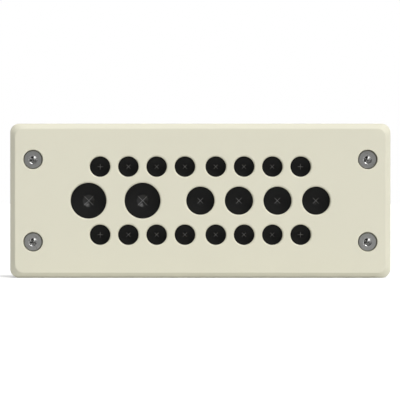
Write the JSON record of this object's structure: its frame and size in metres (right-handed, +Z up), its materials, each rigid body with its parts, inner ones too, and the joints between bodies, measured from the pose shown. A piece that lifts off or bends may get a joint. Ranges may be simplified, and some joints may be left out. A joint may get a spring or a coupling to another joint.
{
  "type": "cable entry plate",
  "caption": "Rectangular cable entry plate with a bevelled front, rows of round membrane-sealed cable entries and corner screws for a panel cut-out.",
  "frame": {"origin": "middle of the panel surface, between the four screws", "axes": "+X across the plate to the right seen from the front, +Z up, +Y into the panel; the front faces -Y"},
  "size_m": [0.148, 0.0166, 0.06],
  "materials": {
    "frame_plastic": "fine matt moulding, light grey-cream",
    "membrane_rubber": "satin black elastomer",
    "gasket_rubber": "matt black elastomer",
    "screw_steel": "turned stainless steel"
  },
  "bodies": {
    "root": {"entry_frame": "frame_plastic", "membrane_mat": "membrane_rubber", "panel_gasket": "gasket_rubber", "mounting_screws": "screw_steel"}
  },
  "joints": []
}
